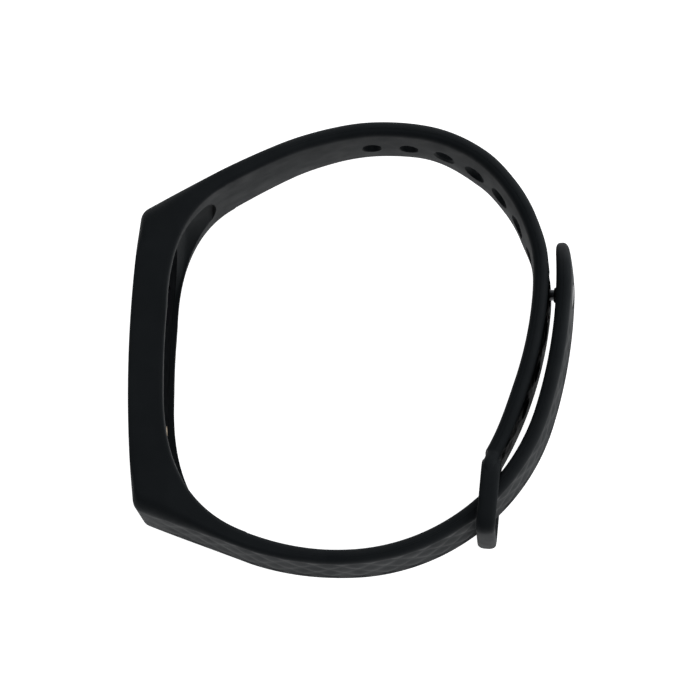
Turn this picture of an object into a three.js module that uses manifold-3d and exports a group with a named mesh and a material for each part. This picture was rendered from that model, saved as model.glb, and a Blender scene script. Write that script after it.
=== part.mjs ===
// Fitness tracker band, buckled into a loop and lying on its side. Millimetres.
// +Z runs across the band's width, +Y along the tracker case, and -X is the case's front.
// The origin is the middle of the loop's box, on the surface that the band lies on.
import * as THREE from 'three';
import { mergeVertices } from 'three/addons/utils/BufferGeometryUtils.js';
import Module from 'manifold-3d';

const wasm = await Module();
wasm.setup();

// ---- Driving dimensions ----

// Tracker case: a curved frame with a pocket that opens towards the wrist.
const CASE_WIDTH = 18;
const CASE_LENGTH = 45.2;
const CASE_MID_Y = -3;
const FRONT_X = -33.3;
const FRONT_RADIUS = 190;
const RIM_DEPTH = 5.1;
const BACK_RADIUS = 120;
const CORNER_RADIUS = 1.6;
const BACK_ARC_TOP = 8;
const BACK_ARC_BOTTOM = 2;

// Straps: flat bands that follow chains of tangent arcs, each [length, turn in degrees].
const STRAP_WIDTH = 15;
const STRAP_OUTER = 1.15;
const STRAP_INNER = 1.5;
const TAPER_START_X = -27;
const TAPER_END_X = -3;
const HOLE_STRAP_START = [-20.1, 25.2];
const HOLE_STRAP_HEADING = 28.5;
const HOLE_STRAP_ARCS = [[10, -4.3], [22.2, -33.5], [14.5, -39], [15.9, -42.2], [28.8, -28.2]];
const STUD_STRAP_START = [-15.3, -30.8];
const STUD_STRAP_HEADING = -18.2;
const STUD_STRAP_ARCS = [[16.2, 21.7], [20.1, 36.1], [18.9, 34.3], [27.3, 21]];
const JOINT_GAP = 0.15;

// Adjustment holes: evenly spaced ovals, one of them filled by the stud.
const HOLE_COUNT = 11;
const HOLE_PITCH = 5.87;
const HOLE_ALONG = 2.9;
const HOLE_ACROSS = 4.5;
const FIRST_HOLE_AT = 23.6;
const STUD_HOLE = 7;

// Stud: a two-part rivet set in the stud strap's tail.
const STUD_NECK = [1.6, 3.2];
const STUD_HEAD = [2, 4];
const STUD_FLANGE = [3.7, 5.3];
const STUD_HEAD_SINK = 0.35;
const STUD_HEAD_HEIGHT = 1.2;
const STUD_FLANGE_HEIGHT = 0.5;
const STUD_CAP_HEIGHT = 0.55;
const STUD_SEAT_CLEARANCE = 0.15;

// The tail bends away from the wrist about a line on its outer surface.
const TAIL_PIVOT_AT = 58.5;
const TIP_RADIUS = 7.5;
const TIP_LENGTH = 5;
const TIP_THINNING = 0.6;

// Keeper loop: the far end of the hole strap, with a slot that the other strap runs through.
const KEEPER_TOP = [21.7, -18.4];
const KEEPER_END = [21, -27.9];
const KEEPER_BAR = 2.9;
const KEEPER_SIDE = 1.2;
const KEEPER_WEB = 2.4;

// Tracker capsule, held in the pocket. Depths are counted from the case's front face.
const CAPSULE_LENGTH = 40;
const CAPSULE_WIDTH = 15.2;
const CAPSULE_DEPTH = 4.4;
const CAPSULE_CLEARANCE = 0.3;
const WINDOW_LENGTH = 37.4;
const WINDOW_WIDTH = 12.8;
const WINDOW_DEPTH = 0.8;
const LIP_DEPTH = 0.7;
const SHELL_WALL = 0.9;
const FRONT_SHELL_DEPTHS = [1.03, 1.8];
const SEAL_DEPTHS = [1.85, 2.1];
const BACK_SHELL_START = 2.15;
const BACK_SHELL_FLOOR = 3.65;
const THUMB_TOP = [-21.5, 21.9];
const THUMB_BOTTOM = [-19.8, -27.2];

// Steps of a curve: degrees of turn in one straight step, and the sides of an oval.
const TURN_STEP = 4;
const OVAL_SIDES = 20;

// ---- Worked-out values ----

const MID_Z = CASE_WIDTH / 2;
const CASE_TOP_Y = CASE_MID_Y + CASE_LENGTH / 2;
const CASE_BOTTOM_Y = CASE_MID_Y - CASE_LENGTH / 2;
const FRONT_CENTRE_X = FRONT_X + FRONT_RADIUS;
const BACK_X = FRONT_X + RIM_DEPTH;
const CAPSULE_BACK_X = FRONT_X + CAPSULE_DEPTH;
const FAR = 60;

// ---- Materials ----

function material(color, roughness, metalness) {
  return new THREE.MeshStandardMaterial({ color, roughness, metalness });
}

const MATERIALS = {
  silicone: material(0x171c1d, 0.62, 0),
  stud_metal: material(0x2b2d2f, 0.35, 0.9),
  window_glass: material(0x050607, 0.08, 0),
  shell_plastic: material(0x0d0f10, 0.5, 0),
  seal_rubber: material(0x2a2b2c, 0.8, 0),
  adhesive: material(0x101010, 0.7, 0),
  display_glass: material(0x0a0c12, 0.15, 0),
  flex_film: material(0x8a5a1e, 0.5, 0),
  copper: material(0xb06a3a, 0.35, 0.9),
  board_green: material(0x14402a, 0.5, 0),
  chip_black: material(0x121212, 0.45, 0),
  battery_foil: material(0x9ea2a6, 0.4, 0.7),
  foam: material(0x26282a, 0.9, 0),
  steel: material(0xa6a9ac, 0.3, 0.95),
  tungsten: material(0x55575a, 0.4, 0.9),
  led_resin: material(0x3fae5a, 0.3, 0),
  photodiode_silicon: material(0x1c2440, 0.25, 0),
  sensor_glass: material(0x0b0f0d, 0.1, 0),
  gold: material(0xc89b3c, 0.3, 0.95),
};

// ---- Solids ----

// A closed three.js geometry as a solid that can be joined and cut.
function solid(geometry) {
  const bare = geometry.clone();
  bare.deleteAttribute('normal');
  bare.deleteAttribute('uv');
  const merged = mergeVertices(bare, 1e-5);
  const vertProperties = Float32Array.from(merged.attributes.position.array);
  const triVerts = Uint32Array.from(merged.index.array);
  return new wasm.Manifold(new wasm.Mesh({ numProp: 3, vertProperties, triVerts }));
}

function solidGeometry(body) {
  const { numProp, vertProperties, triVerts } = body.getMesh();
  const geometry = new THREE.BufferGeometry();
  geometry.setAttribute('position', new THREE.BufferAttribute(new Float32Array(vertProperties), numProp));
  geometry.setIndex(new THREE.BufferAttribute(new Uint32Array(triVerts), 1));
  const flat = geometry.toNonIndexed();
  flat.computeVertexNormals();
  return flat;
}

const X_AXIS = new THREE.Vector3(1, 0, 0);
const Y_AXIS = new THREE.Vector3(0, 1, 0);
const Z_AXIS = new THREE.Vector3(0, 0, 1);

// A shape extruded from one level to another: along Z with shape axes X, Y;
// along X with shape axes Y, Z; and along Y with shape axes Z, X.
function prism(shape, from, to, axis = 'z') {
  const geometry = new THREE.ExtrudeGeometry(shape, {
    depth: to - from,
    bevelEnabled: false,
    curveSegments: OVAL_SIDES / 2,
  });
  geometry.translate(0, 0, from);
  if (axis === 'x') {
    geometry.applyMatrix4(new THREE.Matrix4().makeBasis(Y_AXIS, Z_AXIS, X_AXIS));
  }
  if (axis === 'y') {
    geometry.applyMatrix4(new THREE.Matrix4().makeBasis(Z_AXIS, X_AXIS, Y_AXIS));
  }
  return geometry;
}

function polygon(points) {
  return new THREE.Shape(points.map(([x, y]) => new THREE.Vector2(x, y)));
}

// An oblong with fully round ends, long side along the shape's first axis.
function pill(length, width, midU = 0, midV = 0) {
  const radius = width / 2;
  const reach = length / 2 - radius;
  const shape = new THREE.Shape();
  shape.absarc(midU + reach, midV, radius, -Math.PI / 2, Math.PI / 2);
  shape.absarc(midU - reach, midV, radius, Math.PI / 2, Math.PI * 1.5);
  return shape;
}

function oval(along, across) {
  const shape = new THREE.Shape();
  shape.absellipse(0, 0, along / 2, across / 2, 0, Math.PI * 2);
  return shape;
}

// ---- Routes ----

// The place and heading at a distance along a chain of tangent arcs.
function routeAt(start, headingDegrees, arcs, distance) {
  let [x, y] = start;
  let heading = THREE.MathUtils.degToRad(headingDegrees);
  let left = distance;
  for (const [length, turnDegrees] of arcs) {
    const step = Math.min(left, length);
    const bend = THREE.MathUtils.degToRad(turnDegrees) / length;
    const next = heading + bend * step;
    x += (Math.sin(next) - Math.sin(heading)) / bend;
    y += (Math.cos(heading) - Math.cos(next)) / bend;
    heading = next;
    left -= step;
    if (left <= 0) {
      break;
    }
  }
  return { x, y, heading };
}

function holeRoute(distance) {
  return routeAt(HOLE_STRAP_START, HOLE_STRAP_HEADING, HOLE_STRAP_ARCS, distance);
}

function studRoute(distance) {
  return routeAt(STUD_STRAP_START, STUD_STRAP_HEADING, STUD_STRAP_ARCS, distance);
}

function routeLength(arcs) {
  return arcs.reduce((sum, [length]) => sum + length, 0);
}

// A point beside the route: side is positive to the left of the heading.
function beside({ x, y, heading }, side) {
  return [x - Math.sin(heading) * side, y + Math.cos(heading) * side];
}

// The side outline of a strap between two distances along its route. Its outer side can
// close in over the last stretch, for a tip.
function strapOutline(route, [leftSide, rightSide], from, to, tipLength = 0) {
  const turn = Math.abs(route(to).heading - route(from).heading);
  const steps = Math.ceil(THREE.MathUtils.radToDeg(turn) / TURN_STEP);
  const left = [];
  const right = [];
  for (let i = 0; i <= steps; i += 1) {
    const distance = from + ((to - from) * i) / steps;
    const closing = tipLength > 0 ? Math.max(0, 1 - (to - distance) / tipLength) : 0;
    left.push(beside(route(distance), leftSide));
    right.push(beside(route(distance), TIP_THINNING * closing ** 2 - rightSide));
  }
  return polygon([...right, ...left.reverse()]);
}

const HOLE_STRAP_LENGTH = routeLength(HOLE_STRAP_ARCS);
const STUD_STRAP_LENGTH = routeLength(STUD_STRAP_ARCS);

// Thickness to the left and right of each route: the outer side of the hole strap is on
// its left, and that of the stud strap on its right.
const HOLE_STRAP_SIDES = [STRAP_OUTER, STRAP_INNER];
const STUD_STRAP_SIDES = [STRAP_INNER, STRAP_OUTER];

// The band's width seen along Y: full width at the case, narrowing to the straps' width.
function widthPlan() {
  const half = STRAP_WIDTH / 2;
  const plan = polygon([
    [0, -FAR],
    [0, TAPER_START_X],
    [MID_Z - half, TAPER_END_X],
    [MID_Z - half, FAR],
    [MID_Z + half, FAR],
    [MID_Z + half, TAPER_END_X],
    [CASE_WIDTH, TAPER_START_X],
    [CASE_WIDTH, -FAR],
  ]);
  return solid(prism(plan, -FAR, FAR, 'y'));
}

// ---- Strap: frame, two straps and the keeper loop ----

// The case's side outline: a bowed front, two round corners, and hollow inner curves that
// run out into the straps.
function frameOutline() {
  const top = holeRoute(0);
  const bottom = studRoute(0);
  const frontReach = Math.asin(CASE_LENGTH / 2 / FRONT_RADIUS);
  const cornerTurn = CORNER_RADIUS / FRONT_RADIUS;
  const cornerX = FRONT_CENTRE_X - FRONT_RADIUS * Math.cos(frontReach);
  const backCentreX = BACK_X + BACK_RADIUS;
  const backTop = Math.asin(BACK_ARC_TOP / BACK_RADIUS);
  const backBottom = Math.asin(BACK_ARC_BOTTOM / BACK_RADIUS);
  const backTopX = backCentreX - BACK_RADIUS * Math.cos(backTop);
  const backBottomX = backCentreX - BACK_RADIUS * Math.cos(backBottom);
  const [topOuterX, topOuterY] = beside(top, STRAP_OUTER);
  const [topInnerX, topInnerY] = beside(top, -STRAP_INNER);
  const [bottomOuterX, bottomOuterY] = beside(bottom, -STRAP_OUTER);
  const [bottomInnerX, bottomInnerY] = beside(bottom, STRAP_INNER);
  const topRise = Math.atan2(topOuterY - CASE_TOP_Y, topOuterX - cornerX);
  const bottomRise = Math.atan2(bottomOuterY - CASE_BOTTOM_Y, bottomOuterX - cornerX);
  const innerTopY = topInnerY - (topInnerX - backTopX) * Math.tan(top.heading);
  const innerBottomY = bottomInnerY - (bottomInnerX - backBottomX) * Math.tan(bottom.heading);

  const shape = new THREE.Shape();
  shape.moveTo(topOuterX, topOuterY);
  shape.lineTo(cornerX + CORNER_RADIUS * Math.cos(topRise), CASE_TOP_Y + CORNER_RADIUS * Math.sin(topRise));
  shape.quadraticCurveTo(
    cornerX,
    CASE_TOP_Y,
    FRONT_CENTRE_X - FRONT_RADIUS * Math.cos(frontReach - cornerTurn),
    CASE_MID_Y + FRONT_RADIUS * Math.sin(frontReach - cornerTurn),
  );
  shape.absarc(
    FRONT_CENTRE_X,
    CASE_MID_Y,
    FRONT_RADIUS,
    Math.PI - frontReach + cornerTurn,
    Math.PI + frontReach - cornerTurn,
  );
  shape.quadraticCurveTo(
    cornerX,
    CASE_BOTTOM_Y,
    cornerX + CORNER_RADIUS * Math.cos(bottomRise),
    CASE_BOTTOM_Y + CORNER_RADIUS * Math.sin(bottomRise),
  );
  shape.lineTo(bottomOuterX, bottomOuterY);
  shape.lineTo(bottomInnerX, bottomInnerY);
  shape.quadraticCurveTo(backBottomX, innerBottomY, backBottomX, CASE_MID_Y - BACK_ARC_BOTTOM);
  shape.absarc(backCentreX, CASE_MID_Y, BACK_RADIUS, Math.PI + backBottom, Math.PI - backTop, true);
  shape.quadraticCurveTo(backTopX, innerTopY, topInnerX, topInnerY);
  return shape;
}

// A slab that follows the case's curve between two depths.
function curvedSlab(fromDepth, toDepth) {
  const reach = Math.asin((CASE_LENGTH / 2 + 2) / FRONT_RADIUS);
  const shape = new THREE.Shape();
  shape.absarc(FRONT_CENTRE_X, CASE_MID_Y, FRONT_RADIUS - fromDepth, Math.PI - reach, Math.PI + reach);
  shape.absarc(FRONT_CENTRE_X, CASE_MID_Y, FRONT_RADIUS - toDepth, Math.PI + reach, Math.PI - reach, true);
  return solid(prism(shape, 0, CASE_WIDTH));
}

// An oblong column through the case, along X.
function casePill(length, width, midY = CASE_MID_Y) {
  return solid(prism(pill(length, width, midY, MID_Z), FRONT_X - 5, FRONT_X + 30, 'x'));
}

// The pocket: a window in front, the capsule's seat behind it, and a thumb ramp at each end.
function pocketCut() {
  const seatLength = CAPSULE_LENGTH + 2 * CAPSULE_CLEARANCE;
  const seatWidth = CAPSULE_WIDTH + 2 * CAPSULE_CLEARANCE;
  const window = casePill(WINDOW_LENGTH + 2 * CAPSULE_CLEARANCE, WINDOW_WIDTH + 2 * CAPSULE_CLEARANCE);
  const seat = casePill(seatLength, seatWidth).intersect(curvedSlab(LIP_DEPTH, 15));
  const seatTopY = CASE_MID_Y + seatLength / 2;
  const seatBottomY = CASE_MID_Y - seatLength / 2;
  const ramps = polygon([
    [CAPSULE_BACK_X, seatBottomY],
    THUMB_BOTTOM,
    [-10, THUMB_BOTTOM[1]],
    [-10, THUMB_TOP[1]],
    THUMB_TOP,
    [CAPSULE_BACK_X, seatTopY],
  ]);
  const mouthLength = THUMB_TOP[1] - THUMB_BOTTOM[1];
  const mouthMidY = (THUMB_TOP[1] + THUMB_BOTTOM[1]) / 2;
  const mouth = casePill(mouthLength, seatWidth, mouthMidY).intersect(solid(prism(ramps, 0, CASE_WIDTH)));
  return window.add(seat).add(mouth);
}

function trackerFrame() {
  const block = solid(prism(frameOutline(), 0, CASE_WIDTH));
  return solidGeometry(block.intersect(widthPlan()).subtract(pocketCut()));
}

// An oval column through a strap, across its route at one distance.
function ovalAcross(station, along, across, from, to) {
  const geometry = prism(oval(along, across), from, to);
  const outward = new THREE.Vector3(-Math.sin(station.heading), Math.cos(station.heading), 0);
  const ahead = new THREE.Vector3(-outward.y, outward.x, 0).negate();
  const turn = new THREE.Matrix4().makeBasis(ahead, Z_AXIS.clone().negate(), outward);
  turn.setPosition(station.x, station.y, MID_Z);
  geometry.applyMatrix4(turn);
  return geometry;
}

function holeAt(index) {
  return holeRoute(FIRST_HOLE_AT + index * HOLE_PITCH);
}

function holeStrap() {
  const outline = strapOutline(holeRoute, HOLE_STRAP_SIDES, JOINT_GAP, HOLE_STRAP_LENGTH);
  let strap = solid(prism(outline, 0, CASE_WIDTH)).intersect(widthPlan());
  for (let i = 0; i < HOLE_COUNT; i += 1) {
    strap = strap.subtract(solid(ovalAcross(holeAt(i), HOLE_ALONG, HOLE_ACROSS, -3, 3)));
  }
  return solidGeometry(strap);
}

// A bar with round ends between two points of the side view.
function barOutline([x0, y0], [x1, y1], width) {
  const radius = width / 2;
  const heading = Math.atan2(y1 - y0, x1 - x0);
  const shape = new THREE.Shape();
  shape.absarc(x1, y1, radius, heading - Math.PI / 2, heading + Math.PI / 2);
  shape.absarc(x0, y0, radius, heading + Math.PI / 2, heading + Math.PI * 1.5);
  return shape;
}

function keeperLoop() {
  const side = barOutline(KEEPER_TOP, KEEPER_END, KEEPER_BAR);
  const near = solid(prism(side, 0, KEEPER_SIDE));
  const far = solid(prism(side, CASE_WIDTH - KEEPER_SIDE, CASE_WIDTH));
  const crossBar = solid(prism(barOutline(KEEPER_END, KEEPER_END, KEEPER_BAR), 0, CASE_WIDTH));
  const web = solid(prism(barOutline(KEEPER_TOP, KEEPER_TOP, KEEPER_WEB), 0, CASE_WIDTH));
  return solidGeometry(near.add(far).add(crossBar).add(web));
}

// ---- Stud strap and stud ----

function studStrap() {
  const outline = strapOutline(studRoute, STUD_STRAP_SIDES, JOINT_GAP, TAIL_PIVOT_AT - JOINT_GAP);
  return solidGeometry(solid(prism(outline, 0, CASE_WIDTH)).intersect(widthPlan()));
}

// The distance along the stud strap that lies level with the filled hole.
function studSeatDistance() {
  const hole = holeAt(STUD_HOLE);
  let best = TAIL_PIVOT_AT;
  let bestMiss = Infinity;
  for (let s = TAIL_PIVOT_AT; s < STUD_STRAP_LENGTH; s += 0.05) {
    const place = studRoute(s);
    const ahead = (place.x - hole.x) * Math.cos(hole.heading);
    const aside = (place.y - hole.y) * Math.sin(hole.heading);
    const miss = Math.abs(ahead + aside);
    if (miss < bestMiss) {
      best = s;
      bestMiss = miss;
    }
  }
  return best;
}

// How far the tail's middle lies outside the hole strap's middle at the stud.
function studReach() {
  const hole = holeAt(STUD_HOLE);
  const seat = studRoute(studSeatDistance());
  return Math.hypot(seat.x - hole.x, seat.y - hole.y);
}

function studLevels() {
  const tailOuter = studReach() + STRAP_OUTER;
  const capTop = tailOuter - 0.05;
  const capBase = capTop - STUD_CAP_HEIGHT;
  const flangeTop = capBase - 0.1;
  const flangeBase = flangeTop - STUD_FLANGE_HEIGHT;
  const headBase = -STRAP_INNER + STUD_HEAD_SINK;
  const headTop = headBase + STUD_HEAD_HEIGHT;
  return { tailOuter, capTop, capBase, flangeTop, flangeBase, headBase, headTop };
}

function studStrapTail() {
  const from = TAIL_PIVOT_AT + JOINT_GAP;
  const outline = strapOutline(studRoute, STUD_STRAP_SIDES, from, STUD_STRAP_LENGTH, TIP_LENGTH);
  const tip = studRoute(STUD_STRAP_LENGTH);
  const planLength = 60;
  const plan = solid(prism(pill(planLength, 2 * TIP_RADIUS, tip.y - planLength / 2, MID_Z), 0, FAR, 'x'));
  const hole = holeAt(STUD_HOLE);
  const level = studLevels();
  const clear = 2 * STUD_SEAT_CLEARANCE;
  const seatBase = level.flangeBase - STUD_SEAT_CLEARANCE;
  const [neckAlong, neckAcross] = STUD_NECK;
  const [flangeAlong, flangeAcross] = STUD_FLANGE;
  const neckHole = ovalAcross(hole, neckAlong + clear, neckAcross + clear, STRAP_OUTER, seatBase + 0.2);
  const seat = ovalAcross(hole, flangeAlong + clear, flangeAcross + clear, seatBase, level.tailOuter + 1);
  const tail = solid(prism(outline, 0, CASE_WIDTH)).intersect(plan);
  return solidGeometry(tail.subtract(solid(neckHole)).subtract(solid(seat)));
}

function studButton() {
  const hole = holeAt(STUD_HOLE);
  const level = studLevels();
  const head = solid(ovalAcross(hole, ...STUD_HEAD, level.headBase, level.headTop));
  const neck = solid(ovalAcross(hole, ...STUD_NECK, level.headTop - 0.1, level.flangeBase + 0.1));
  const flange = solid(ovalAcross(hole, ...STUD_FLANGE, level.flangeBase, level.flangeTop));
  return solidGeometry(head.add(neck).add(flange));
}

function studCap() {
  const level = studLevels();
  return ovalAcross(holeAt(STUD_HOLE), ...STUD_FLANGE, level.capBase, level.capTop);
}

// ---- Tracker capsule: shells, window and seals ----

function capsulePill(inset) {
  return casePill(CAPSULE_LENGTH - 2 * inset, CAPSULE_WIDTH - 2 * inset);
}

function windowPill(inset) {
  return casePill(WINDOW_LENGTH - 2 * inset, WINDOW_WIDTH - 2 * inset);
}

// A box through the capsule, along X: lengths from the case's middle.
function capsuleBox(alongFrom, alongTo, halfAcross) {
  const outline = polygon([
    [CASE_MID_Y + alongFrom, MID_Z - halfAcross],
    [CASE_MID_Y + alongTo, MID_Z - halfAcross],
    [CASE_MID_Y + alongTo, MID_Z + halfAcross],
    [CASE_MID_Y + alongFrom, MID_Z + halfAcross],
  ]);
  return solid(prism(outline, FRONT_X - 5, FRONT_X + 10, 'x'));
}

// A round column through the capsule, along X.
function capsuleBore(along, across, radius) {
  const shape = new THREE.Shape();
  shape.absarc(CASE_MID_Y + along, MID_Z + across, radius, 0, Math.PI * 2);
  return solid(prism(shape, FRONT_X - 5, FRONT_X + 10, 'x'));
}

const DISPLAY = { along: 9.6, length: 15, width: 8, depths: [1.15, 2.2] };
const BATTERY = { along: -4.8, length: 11.6, width: 10.6, depths: [1.1, 3.2] };
const SENSOR = { along: 9.8, radius: 2.8 };
const CONTACTS = { along: -9.5, across: 3.2, radius: 0.9 };
const MOTOR = { along: -15.3, radius: 3.1 };
const APERTURE_MARGIN = 0.5;

function aperture({ along, length, width }) {
  const half = length / 2 + APERTURE_MARGIN;
  return capsuleBox(along - half, along + half, width / 2 + APERTURE_MARGIN);
}

function displayWindow() {
  return solidGeometry(windowPill(0).intersect(curvedSlab(0, WINDOW_DEPTH)));
}

function windowGasket() {
  const ring = windowPill(0).subtract(windowPill(0.7));
  return solidGeometry(ring.intersect(curvedSlab(WINDOW_DEPTH + 0.05, FRONT_SHELL_DEPTHS[0] - 0.05)));
}

function frontShell() {
  const plate = capsulePill(0).intersect(curvedSlab(...FRONT_SHELL_DEPTHS));
  return solidGeometry(plate.subtract(aperture(DISPLAY)).subtract(aperture(BATTERY)));
}

function shellSeal() {
  const ring = capsulePill(0.1).subtract(capsulePill(SHELL_WALL - 0.1));
  return solidGeometry(ring.intersect(curvedSlab(...SEAL_DEPTHS)));
}

function backShell() {
  const outer = capsulePill(0).intersect(curvedSlab(BACK_SHELL_START, CAPSULE_DEPTH));
  const hollow = capsulePill(SHELL_WALL).intersect(curvedSlab(BACK_SHELL_START - 1, BACK_SHELL_FLOOR));
  let shell = outer.subtract(hollow).subtract(capsuleBore(SENSOR.along, 0, SENSOR.radius + 0.3));
  for (const side of [-1, 1]) {
    shell = shell.subtract(capsuleBore(CONTACTS.along, side * CONTACTS.across, CONTACTS.radius + 0.2));
  }
  return solidGeometry(shell);
}

// ---- Tracker capsule: what is inside ----

// Puts a piece on the case's curve, square to it: local -X faces the front.
function onCurve(mesh, along, across, depth) {
  const angle = along / FRONT_RADIUS;
  const radius = FRONT_RADIUS - depth;
  mesh.position.set(
    FRONT_CENTRE_X - radius * Math.cos(angle),
    CASE_MID_Y + radius * Math.sin(angle),
    MID_Z + across,
  );
  mesh.rotation.z = -angle;
  return mesh;
}

function piece(name, geometry, materialName) {
  const mesh = new THREE.Mesh(geometry, MATERIALS[materialName]);
  mesh.name = name;
  return mesh;
}

function slab(name, materialName, { along, across = 0, length, width, depths }) {
  const [from, to] = depths;
  const geometry = new THREE.BoxGeometry(to - from, length, width);
  return onCurve(piece(name, geometry, materialName), along, across, (from + to) / 2);
}

// A turned piece with its axis along the depth: profile points are [radius, depth from centre].
function turned(name, materialName, profile, { along, across = 0, depth = 0 }) {
  const points = profile.map(([radius, level]) => new THREE.Vector2(radius, -level));
  const geometry = new THREE.LatheGeometry(points, OVAL_SIDES);
  geometry.rotateZ(Math.PI / 2);
  return onCurve(piece(name, geometry, materialName), along, across, depth);
}

// A disc between two depths, given as a profile from the axis out and back.
function discProfile(radius, from, to) {
  return [[0, to], [radius, to], [radius, from], [0, from]];
}

function canProfile(radius, wall, open, floor, end) {
  return [[0, end], [radius, end], [radius, open], [radius - wall, open], [radius - wall, floor], [0, floor]];
}

// The motor's weight: a half disc that hangs from the pin, and shakes the band when it spins.
function motorWeight() {
  const outerRadius = MOTOR.radius - 0.5;
  const boreRadius = 0.5;
  const hubRadius = 0.95;
  const shape = new THREE.Shape();
  shape.absarc(0, 0, outerRadius, Math.PI, Math.PI * 2);
  shape.lineTo(hubRadius, 0);
  shape.absarc(0, 0, hubRadius, 0, Math.PI);
  const bore = new THREE.Path();
  bore.absarc(0, 0, boreRadius, 0, Math.PI * 2);
  shape.holes.push(bore);
  return onCurve(piece('motor_weight', prism(shape, 2.3, 3.1, 'x'), 'tungsten'), MOTOR.along, 0, 0);
}

function motorPieces() {
  const place = { along: MOTOR.along };
  return [
    turned('vibration_motor_cover', 'steel', discProfile(MOTOR.radius, 1.92, 2.05), place),
    turned('vibration_motor_can', 'steel', canProfile(MOTOR.radius, 0.2, 2.1, 3.32, 3.52), place),
    turned('motor_pin', 'steel', discProfile(0.35, 2.1, 3.27), place),
    motorWeight(),
  ];
}

const BOARD_CHIPS = [
  ['bluetooth_chip', { along: 4.5, across: -3, length: 2.8, width: 2.8 }],
  ['flash_memory_chip', { along: 4.5, across: 3, length: 2.6, width: 2 }],
  ['motion_sensor_chip', { along: 14.6, across: -2.4, length: 2, width: 2 }],
  ['charge_controller_chip', { along: 14.6, across: 2.2, length: 1.8, width: 2.2 }],
];

function boardPieces() {
  const boardSize = { along: 9.1, length: 13.6, width: 10.4, depths: [2.5, 2.85] };
  const chipDepths = [2.92, 3.35];
  const board = slab('main_board', 'board_green', boardSize);
  const chips = BOARD_CHIPS.map(([name, place]) => slab(name, 'chip_black', { ...place, depths: chipDepths }));
  return [board, ...chips];
}

function sensorPieces() {
  const { along, radius } = SENSOR;
  const die = { along, length: 1, width: 1, depths: [3.3, 3.7] };
  return [
    slab('hr_sensor_board', 'board_green', { along, length: 5.4, width: 6.4, depths: [2.95, 3.2] }),
    slab('hr_led_1', 'led_resin', { ...die, across: -1.6 }),
    slab('hr_led_2', 'led_resin', { ...die, across: 1.6 }),
    slab('hr_photodiode', 'photodiode_silicon', { ...die, length: 1.6, width: 1.2 }),
    turned('hr_sensor_window', 'sensor_glass', discProfile(radius, 3.85, CAPSULE_DEPTH + 0.1), { along }),
  ];
}

function contactPieces() {
  return [-1, 1].map((side, i) => {
    const place = { along: CONTACTS.along, across: side * CONTACTS.across };
    const profile = discProfile(CONTACTS.radius, BACK_SHELL_FLOOR + 0.05, CAPSULE_DEPTH + 0.05);
    return turned(`charge_contact_${i + 1}`, 'gold', profile, place);
  });
}

function capsuleInsides() {
  return [
    slab('oled_panel', 'display_glass', DISPLAY),
    slab('display_flex', 'flex_film', { along: 6, length: 6, width: 5, depths: [2.28, 2.42] }),
    turned('touch_key_pad', 'copper', discProfile(2.6, 0.87, 0.96), { along: MOTOR.along + 1 }),
    slab('battery_cell', 'battery_foil', BATTERY),
    slab('battery_lead', 'flex_film', { along: 2.1, length: 1.8, width: 3, depths: [2.95, 3.1] }),
    slab('battery_foam_pad', 'foam', { along: -4, length: 8, width: 8, depths: [3.3, 3.55] }),
    slab('antenna_strip', 'copper', { along: 0, across: 6.2, length: 15, width: 0.2, depths: [2.5, 3.3] }),
    ...boardPieces(),
    ...sensorPieces(),
    ...contactPieces(),
    ...motorPieces(),
  ];
}

// ---- The whole band ----

const band = new THREE.Group();

band.add(
  piece('tracker_frame', trackerFrame(), 'silicone'),
  piece('hole_strap', holeStrap(), 'silicone'),
  piece('keeper_loop', keeperLoop(), 'silicone'),
  piece('stud_strap', studStrap(), 'silicone'),
  piece('stud_strap_tail', studStrapTail(), 'silicone'),
  piece('stud_button', studButton(), 'stud_metal'),
  piece('stud_cap', studCap(), 'stud_metal'),
  piece('display_window', displayWindow(), 'window_glass'),
  piece('window_gasket', windowGasket(), 'adhesive'),
  piece('front_shell', frontShell(), 'shell_plastic'),
  piece('shell_seal', shellSeal(), 'seal_rubber'),
  piece('back_shell', backShell(), 'shell_plastic'),
  ...capsuleInsides(),
);

export default band;
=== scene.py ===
"""Looks for the fitness tracker band: the silicone moulding, the stud, and the capsule's window.

Sizes are in millimetres and become metres where a mesh is made. Places follow the CAD frame:
+Z across the band's width, +Y along the tracker case, -X out of the case's front.
"""

import math

import bmesh
import bpy
import numpy as np
from mathutils import Matrix, Vector


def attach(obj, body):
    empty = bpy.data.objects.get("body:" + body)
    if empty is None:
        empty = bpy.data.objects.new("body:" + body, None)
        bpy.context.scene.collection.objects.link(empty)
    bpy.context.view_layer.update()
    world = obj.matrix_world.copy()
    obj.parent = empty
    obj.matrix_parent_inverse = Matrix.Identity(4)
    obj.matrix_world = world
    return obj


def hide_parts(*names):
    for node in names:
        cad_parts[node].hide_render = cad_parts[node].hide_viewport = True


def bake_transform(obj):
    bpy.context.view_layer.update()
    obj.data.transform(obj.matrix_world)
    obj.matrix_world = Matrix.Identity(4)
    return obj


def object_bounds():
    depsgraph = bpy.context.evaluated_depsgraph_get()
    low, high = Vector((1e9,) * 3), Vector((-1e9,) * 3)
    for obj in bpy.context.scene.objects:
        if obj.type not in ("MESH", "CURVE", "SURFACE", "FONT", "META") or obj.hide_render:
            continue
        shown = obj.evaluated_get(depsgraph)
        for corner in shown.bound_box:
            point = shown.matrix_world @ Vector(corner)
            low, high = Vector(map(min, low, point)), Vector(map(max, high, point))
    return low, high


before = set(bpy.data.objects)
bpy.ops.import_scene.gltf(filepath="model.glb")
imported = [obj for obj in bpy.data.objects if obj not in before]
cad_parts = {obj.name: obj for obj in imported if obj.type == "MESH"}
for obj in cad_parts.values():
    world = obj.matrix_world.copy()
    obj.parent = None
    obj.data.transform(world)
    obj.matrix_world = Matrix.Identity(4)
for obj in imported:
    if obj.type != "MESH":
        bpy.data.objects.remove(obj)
cad_low, cad_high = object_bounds()

MM = 0.001

# ---- Sizes shared with the CAD model ----

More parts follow.
